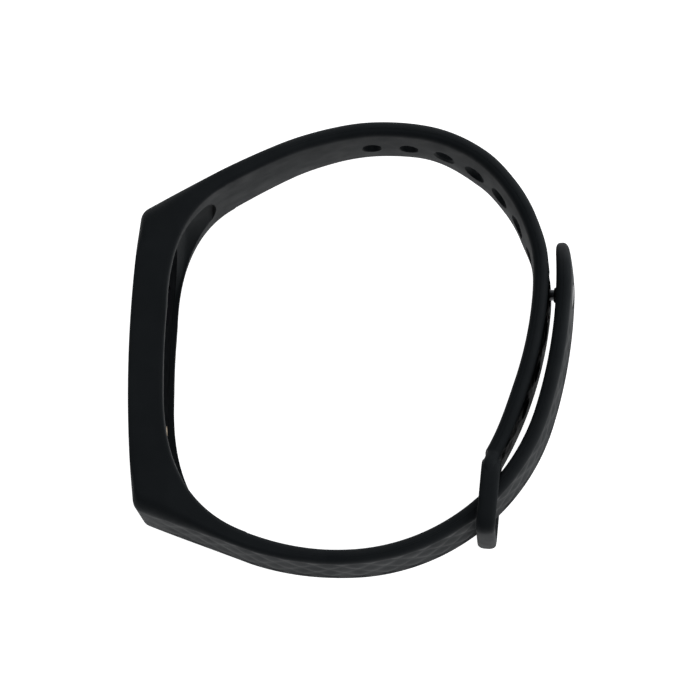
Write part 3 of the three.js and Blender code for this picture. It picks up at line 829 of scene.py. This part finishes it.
def pocket_tool():
    """What the pocket takes away, from the front: window, lip, seat, and the flared mouth."""
    window_length = WINDOW_LENGTH + 2 * POCKET_CLEARANCE
    window_width = WINDOW_WIDTH + 2 * POCKET_CLEARANCE
    seat_length = CAPSULE_LENGTH + 2 * POCKET_CLEARANCE
    seat_width = CAPSULE_WIDTH + 2 * POCKET_CLEARANCE
    rings = []

    def level(depth, length, width, mid_y=CASE_MID_Y):
        rings.append([(front_x(y, depth), y, z) for y, z in pill_points(length, width, mid_y)])

    for depth, extra in POCKET_CHAMFER:
        level(depth, window_length + extra, window_width + extra)
    level(LIP_DEPTH, window_length, window_width)
    level(LIP_DEPTH + 0.001, seat_length, seat_width)
    level(CAPSULE_DEPTH, seat_length, seat_width)
    for start, end in zip(MOUTH_DEPTHS, MOUTH_DEPTHS[1:]):
        for depth in np.linspace(start, end, 11)[1:]:
            top = float(np.interp(depth, MOUTH_DEPTHS, MOUTH_TOPS))
            bottom = float(np.interp(depth, MOUTH_DEPTHS, MOUTH_BOTTOMS))
            level(depth, top - bottom, seat_width, (top + bottom) / 2)
    points, faces = loft(rings)
    return mesh_piece("pocket_tool", points, faces, SILICONE)


def oval_ring(distance, level, along, across, steps=48):
    """An oval round the axis of a hole at a distance along the hole strap.

    The level counts out from the strap's middle; along and across are the oval's sizes.
    """
    x, y, heading = route_at(HOLE_STRAP, distance)
    out = (-math.sin(heading), math.cos(heading))
    ahead = (math.cos(heading), math.sin(heading))
    ring = []
    for i in range(steps):
        turn = 2 * math.pi * i / steps
        a = along / 2 * math.cos(turn)
        c = across / 2 * math.sin(turn)
        ring.append((x + ahead[0] * a + out[0] * level, y + ahead[1] * a + out[1] * level, MID_Z + c))
    return ring


def hole_tool(distance):
    """An oval column with flared ends, so that the hole it cuts has rounded edges."""
    overshoot = 1.5
    widest = HOLE_FLARE + 0.35
    turns = [math.pi / 2 * i / 6 for i in range(7)]
    sinks = [HOLE_FLARE * math.sin(turn) - 0.01 for turn in turns]
    growths = [HOLE_FLARE * (1 - math.cos(math.pi / 2 - turn)) for turn in turns]
    edge = list(zip(sinks, growths))
    levels = [(-STRAP_INNER - overshoot, widest)]
    levels += [(-STRAP_INNER + sink, growth) for sink, growth in edge]
    levels += [(STRAP_OUTER - sink, growth) for sink, growth in reversed(edge)]
    levels.append((STRAP_OUTER + overshoot, widest))
    rings = []
    for level, growth in levels:
        rings.append(oval_ring(distance, level, HOLE_ALONG + 2 * growth, HOLE_ACROSS + 2 * growth, 40))
    points, faces = loft(rings)
    return mesh_piece("hole_tool", points, faces, SILICONE)


def keeper_bar():
    """The loop at the hole strap's end: a rounded bar bent into a tall rectangle."""
    top = np.array(KEEPER_TOP)
    end = np.array(KEEPER_END)
    reach = float(np.hypot(*(end - top)))
    down = (end - top) / reach
    side = np.array((-down[1], down[0]))
    half = MID_Z - KEEPER_SIDE / 2
    centres = [
        (KEEPER_BEND, half - KEEPER_BEND, 90),
        (KEEPER_BEND, KEEPER_BEND - half, 180),
        (reach - KEEPER_BEND, KEEPER_BEND - half, 270),
        (reach - KEEPER_BEND, half - KEEPER_BEND, 0),
    ]
    route = []
    for along, across, corner in centres:
        for step in range(KEEPER_CORNER_STEPS + 1):
            turn = math.radians(corner + 90 * step / KEEPER_CORNER_STEPS)
            a = along + KEEPER_BEND * math.cos(turn)
            c = across + KEEPER_BEND * math.sin(turn)
            route.append((a, c, turn))
    rings = []
    for a, c, turn in route:
        normal = np.array((math.cos(turn), math.sin(turn)))
        cross = smooth(abs(normal[0]), *KEEPER_CROSS_IN)
        thick = KEEPER_SIDE / 2 + KEEPER_CROSS_EXTRA * cross
        ring = []
        for k in range(KEEPER_SECTION_STEPS):
            section_turn = 2 * math.pi * k / KEEPER_SECTION_STEPS
            wide = signed_power(math.cos(section_turn), KEEPER_SQUARENESS[0]) * KEEPER_BAR / 2
            deep = signed_power(math.sin(section_turn), KEEPER_SQUARENESS[1]) * thick
            along = a + normal[0] * deep
            across = c + normal[1] * deep
            lean = KEEPER_LEAN * (MID_Z - across) / CASE_WIDTH
            x, y = top + down * along + side * wide
            ring.append((x - lean, y, MID_Z + across))
        rings.append(ring)
    points, faces = loft(rings, closed=True)
    return mesh_piece("keeper_bar", points, faces, SILICONE)


def moulding():
    """Hole strap, case and the stud strap up to the keeper loop, as one piece of silicone."""
    rings = hole_strap_rings()
    rings += case_rings()
    rings += stud_strap_rings()
    points, faces = loft([ring.points() for ring in rings])
    body = mesh_piece("band_moulding", points, faces, SILICONE)
    combine(body, pocket_tool(), "DIFFERENCE")
    for i in range(HOLE_COUNT):
        combine(body, hole_tool(FIRST_HOLE_AT + i * HOLE_PITCH), "DIFFERENCE")
    points, faces = loft([ring.points() for ring in keeper_root_rings()])
    loop = mesh_piece("keeper_root", points, faces, SILICONE)
    combine(loop, keeper_bar(), "UNION", crosses_itself=True)
    combine(body, loop, "UNION")
    shade(body, SMOOTH_ANGLE)
    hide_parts("tracker_frame", "hole_strap", "keeper_loop", "stud_strap")
    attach(body, "root")


def tail():
    """The rest of the stud strap, with its rounded, thinned tip."""
    length = strap_length(STUD_STRAP)
    tip_radius = STRAP_WIDTH / 2
    stations = even_steps(SEAM_AT, length - TIP_ROUNDING)
    stations += [length - TIP_ROUNDING * (1 - math.sin(math.pi / 2 * i / 10)) for i in range(1, 10)]
    rings = []
    for distance in stations:
        left = length - distance
        half = half_width(route_at(STUD_STRAP, distance)[0])
        if left < tip_radius:
            half *= math.sqrt(max(0.0, 1 - (1 - left / tip_radius) ** 2))
        thin = TIP_THINNING * max(0.0, 1 - left / TIP_LENGTH) ** 2
        middle = (STRAP_INNER - STRAP_OUTER + thin) / 2
        closing = min(1.0, left / TIP_ROUNDING)
        thick = (STRAP_INNER + STRAP_OUTER - thin) / 2 * math.sqrt(1 - (1 - closing) ** 2)
        station = route_at(STUD_STRAP, distance)
        share = min(1.0, half / tip_radius)
        edge = min(STRAP_EDGE_RADIUS, thick * EDGE_SHARE, half * EDGE_SHARE)
        rings.append(
            Ring(
                beside(station, middle + thick),
                beside(station, middle - thick),
                half,
                along=distance,
                diamonds=1 - smooth(distance, *[length - end for end in TIP_DIAMONDS_OUT]),
                inner_crown=INNER_CROWN * share * closing,
                outer_crown=OUTER_CROWN * share * closing,
                inner_radius=edge,
                outer_radius=edge,
                parting=smooth(left, *TIP_PARTING_OUT),
            )
        )
    points, faces = loft([ring.points() for ring in rings])
    piece = mesh_piece("strap_tail", points, faces, SILICONE)
    cut_stud_seat(piece, tail_inner_level())
    shade(piece, SMOOTH_ANGLE)
    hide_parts("stud_strap_tail")
    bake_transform(piece)


# ---- Stud, window and the rest of the tracker ----


def stud_levels(node):
    """Lowest and highest place of a CAD node along the stud's axis, in millimetres."""
    x, y, heading = route_at(HOLE_STRAP, STUD_AT)
    out = (-math.sin(heading), math.cos(heading))
    levels = []
    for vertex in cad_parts[node].data.vertices:
        levels.append((vertex.co.x / MM - x) * out[0] + (vertex.co.y / MM - y) * out[1])
    return min(levels), max(levels)


def rounded_profile(low, high, along, across, radius, steps):
    """Levels and oval sizes of a disc with rounded edges at both ends."""
    profile = []
    for i in range(steps + 1):
        turn = math.pi / 2 * i / steps
        inset = 2 * radius * (1 - math.sin(turn))
        profile.append((low + radius * (1 - math.cos(turn)), along - inset, across - inset))
    for i in range(steps + 1):
        turn = math.pi / 2 * (1 - i / steps)
        inset = 2 * radius * (1 - math.sin(turn))
        profile.append((high - radius * (1 - math.cos(turn)), along - inset, across - inset))
    return profile


def stud_solid(name, profile, material):
    """A solid round the stud's axis, from the level and the oval size of each section."""
    points, faces = loft([oval_ring(STUD_AT, *section) for section in profile])
    return mesh_piece(name, points, faces, material, 30)


def stud():
    """The button through the hole, and the cap that shows on the outside of the tail."""
    low, high = stud_levels("stud_button")
    head = rounded_profile(low, low + STUD_HEAD_HEIGHT, *STUD_HEAD, HEAD_EDGE, 6)
    neck = [
        (low + STUD_HEAD_HEIGHT + 0.01, *STUD_NECK),
        (high - STUD_FLANGE_HEIGHT - 0.01, *STUD_NECK),
    ]
    flange = rounded_profile(high - STUD_FLANGE_HEIGHT, high, *STUD_FLANGE, FLANGE_EDGE, 3)
    button = stud_solid("stud_button_look", head + neck + flange, LOOKS["stud_metal"])
    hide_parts("stud_button")
    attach(button, "tail")
    low, high = stud_levels("stud_cap")
    along, across = STUD_FLANGE
    profile = rounded_profile(low, high - CAP_RIM_DROP, along, across, CAP_EDGE, 5)
    profile += [(high - drop, along * length, across * width) for drop, length, width in CAP_FACE]
    cap = stud_solid("stud_cap_look", profile, LOOKS["stud_metal"])
    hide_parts("stud_cap")
    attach(cap, "tail")


def tail_inner_level():
    """How far out from the hole strap's middle the tail's inner surface is, at the stud."""
    x, y, heading = route_at(HOLE_STRAP, STUD_AT)
    out = np.array((-math.sin(heading), math.cos(heading)))
    ahead = np.array((math.cos(heading), math.sin(heading)))
    nearest = None
    for distance in np.arange(SEAM_AT, strap_length(STUD_STRAP), 0.1):
        surface = beside(route_at(STUD_STRAP, distance), STRAP_INNER) - (x, y)
        miss = abs(float(surface @ ahead))
        if nearest is None or miss < nearest[0]:
            nearest = (miss, float(surface @ out))
    return nearest[1]


def cut_stud_seat(piece, inner_level):
    """Adds the collar round the stud's neck to the tail, then opens the neck hole and seat."""
    flange_base = stud_levels("stud_button")[1] - STUD_FLANGE_HEIGHT - STUD_SEAT_CLEARANCE
    along, across = STUD_COLLAR
    collar = []
    for i in range(7):
        flare = STUD_COLLAR_FLARE * (1 - math.sin(math.pi / 2 * (1 - i / 6)))
        level = inner_level - STUD_COLLAR_HEIGHT * (1 - i / 6)
        collar.append((level, along + 2 * flare, across + 2 * flare))
    collar.append((inner_level + 0.8, along, across))
    combine(piece, stud_solid("collar_tool", collar, SILICONE), "UNION")
    clear = 2 * STUD_SEAT_CLEARANCE
    neck = (STUD_NECK[0] + clear, STUD_NECK[1] + clear)
    seat = (STUD_FLANGE[0] + clear, STUD_FLANGE[1] + clear)
    opening = [
        (inner_level - 1.0, *neck),
        (flange_base, *neck),
        (flange_base + 0.001, *seat),
        (flange_base + 3.0, *seat),
    ]
    combine(piece, stud_solid("seat_tool", opening, SILICONE), "DIFFERENCE")


def window():
    """The display's cover glass: a long curved pill with a domed face and a rounded edge."""
    radius = (WINDOW_WIDTH - WINDOW_PLAY) / 2
    straight = (WINDOW_LENGTH - WINDOW_PLAY) / 2 - radius
    quarter = [math.pi / 2 * i / WINDOW_STEPS for i in range(WINDOW_STEPS)]
    end = [straight + radius * math.sin(turn) for turn in quarter]
    middle = list(np.linspace(-straight, straight, 40))[1:-1]
    rings = []
    for offset in [-y for y in reversed(end)] + middle + end:
        over = max(0.0, abs(offset) - straight)
        half = max(math.sqrt(radius**2 - over**2), WINDOW_TIP)
        y = CASE_MID_Y + offset
        edge = min(WINDOW_EDGE, half * 0.5)
        dome = WINDOW_DOME * smooth(half / radius, 0.0, 0.5)
        ring = []
        for i in range(WINDOW_STEPS + 1):
            across = half * math.sin(math.pi / 2 * (2 * i / WINDOW_STEPS - 1))
            share = abs(across) / half
            rounding = min(1.0, max(0.0, (abs(across) - (half - edge)) / edge))
            depth = WINDOW_SINK - dome * (1 - share**2)
            depth += WINDOW_EDGE_DROP * (1 - math.sqrt(1 - rounding**2))
            ring.append((front_x(y, depth), y, MID_Z + across))
        ring += [(front_x(y, WINDOW_THICKNESS), y, MID_Z + side * half) for side in (1, -1)]
        rings.append(ring)
    points, faces = loft(rings)
    glass = mesh_piece("display_window_look", points, faces, LOOKS["window_glass"], 45)
    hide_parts("display_window")
    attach(glass, "tracker")


def touch_mark():
    """The thin ring on the glass that shows where the touch key is."""
    inner, outer = TOUCH_RING_RADII
    under, over = TOUCH_RING_LIFTS
    rings = []
    for i in range(48):
        turn = 2 * math.pi * i / 48
        ring = []
        for radius, lift in ((inner, under), (inner, over), (outer, over), (outer, under)):
            y = TOUCH_KEY_Y + radius * math.cos(turn)
            across = radius * math.sin(turn)
            share = across / (WINDOW_WIDTH / 2)
            depth = WINDOW_SINK - WINDOW_DOME * (1 - share**2) - lift
            ring.append((front_x(y, depth), y, MID_Z + across))
        rings.append(ring)
    points, faces = loft(rings, closed=True)
    mark = mesh_piece("touch_mark", points, faces, LOOKS["printed_mark"], 30)
    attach(mark, "tracker")


def finish_cad_nodes():
    """Gives the CAD's hard parts the looks of their own materials."""
    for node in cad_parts.values():
        slot = node.data.materials[0].name.split(".")[0]
        if slot in LOOKS:
            node.data.materials[0] = LOOKS[slot]
            shade(node, 35)


moulding()
tail()
stud()
window()
touch_mark()
finish_cad_nodes()

# ---- Floor, light and camera ----

WORLD_STOPS = (
    (0.0, (0.24, 0.25, 0.26)),
    (0.5, (0.24, 0.25, 0.26)),
    (0.62, (0.25, 0.26, 0.275)),
    (1.0, (0.27, 0.283, 0.3)),
)
FLOOR_GREY = 0.7
FLOOR_GLOW = 1.0
FLOOR_REACH = 1.5
FLOOR_DROP = 0.0002
CAMERA_PLACE = (0.0659, -0.1719, 0.8899)
CAMERA_TARGET = (-0.0006, 0.00014, 0.009)
CAMERA_UP = (-0.0227, 0.9997, 0)
CAMERA_LENS = 303.8


def studio_world():
    """Dim, even light from all round, a little brighter overhead."""
    world = bpy.data.worlds.new("studio")
    bpy.context.scene.world = world
    world.use_nodes = True
    nodes = world.node_tree.nodes
    links = world.node_tree.links
    place = nodes.new("ShaderNodeTexCoord")
    parts = nodes.new("ShaderNodeSeparateXYZ")
    ramp = nodes.new("ShaderNodeValToRGB")
    links.new(place.outputs["Generated"], parts.inputs["Vector"])
    links.new(parts.outputs["Z"], ramp.inputs["Fac"])
    links.new(ramp.outputs["Color"], nodes["Background"].inputs["Color"])
    elements = ramp.color_ramp.elements
    while len(elements) < len(WORLD_STOPS):
        elements.new(0.5)
    for element, (position, color) in zip(elements, WORLD_STOPS):
        element.position = position
        element.color = (*color, 1)
    nodes["Background"].inputs["Strength"].default_value = 1.0


def floor():
    """A plain floor that glows, so that it stays pale in dim light."""
    material = bpy.data.materials.new("floor_white")
    material.use_nodes = True
    shader = material.node_tree.nodes["Principled BSDF"]
    shader.inputs["Base Color"].default_value = (FLOOR_GREY, FLOOR_GREY, FLOOR_GREY, 1)
    shader.inputs["Roughness"].default_value = 0.9
    shader.inputs["Emission Color"].default_value = (1, 1, 1, 1)
    shader.inputs["Emission Strength"].default_value = FLOOR_GLOW
    mesh = bpy.data.meshes.new("floor")
    level = cad_low.z - FLOOR_DROP
    signs = ((-1, -1), (1, -1), (1, 1), (-1, 1))
    corners = [(FLOOR_REACH * x, FLOOR_REACH * y, level) for x, y in signs]
    mesh.from_pydata(corners, [], [(0, 1, 2, 3)])
    mesh.materials.append(material)
    obj = bpy.data.objects.new("floor", mesh)
    bpy.context.scene.collection.objects.link(obj)


def soft_light(name, place, size, power):
    """A rectangular light that points at the middle of the band."""
    data = bpy.data.lights.new(name, "AREA")
    data.shape = "RECTANGLE"
    data.size = size[0]
    data.size_y = size[1]
    data.energy = power
    light = bpy.data.objects.new(name, data)
    light.location = place
    ahead = Vector((0, 0, MID_Z * MM)) - Vector(place)
    light.rotation_euler = ahead.to_track_quat("-Z", "Y").to_euler()
    bpy.context.scene.collection.objects.link(light)


def camera():
    """A long lens almost above the band, which lies on its side."""
    data = bpy.data.cameras.new("camera")
    data.lens = CAMERA_LENS
    data.sensor_width = 36
    data.clip_start = 0.01
    view = bpy.data.objects.new("camera", data)
    place = Vector(CAMERA_PLACE)
    back = (place - Vector(CAMERA_TARGET)).normalized()
    right = Vector(CAMERA_UP).cross(back).normalized()
    up = back.cross(right)
    turn = [[right[i], up[i], back[i]] for i in range(3)]
    view.matrix_world = Matrix.Translation(place) @ Matrix(turn).to_4x4()
    bpy.context.scene.collection.objects.link(view)
    bpy.context.scene.camera = view


studio_world()
floor()
soft_light("right", place=(0.7, 0.2, 0.35), size=(0.6, 0.5), power=3.4)
soft_light("back", place=(0.1, 0.7, 0.4), size=(0.8, 0.5), power=1.6)
camera()
bpy.context.scene.view_settings.view_transform = "Standard"
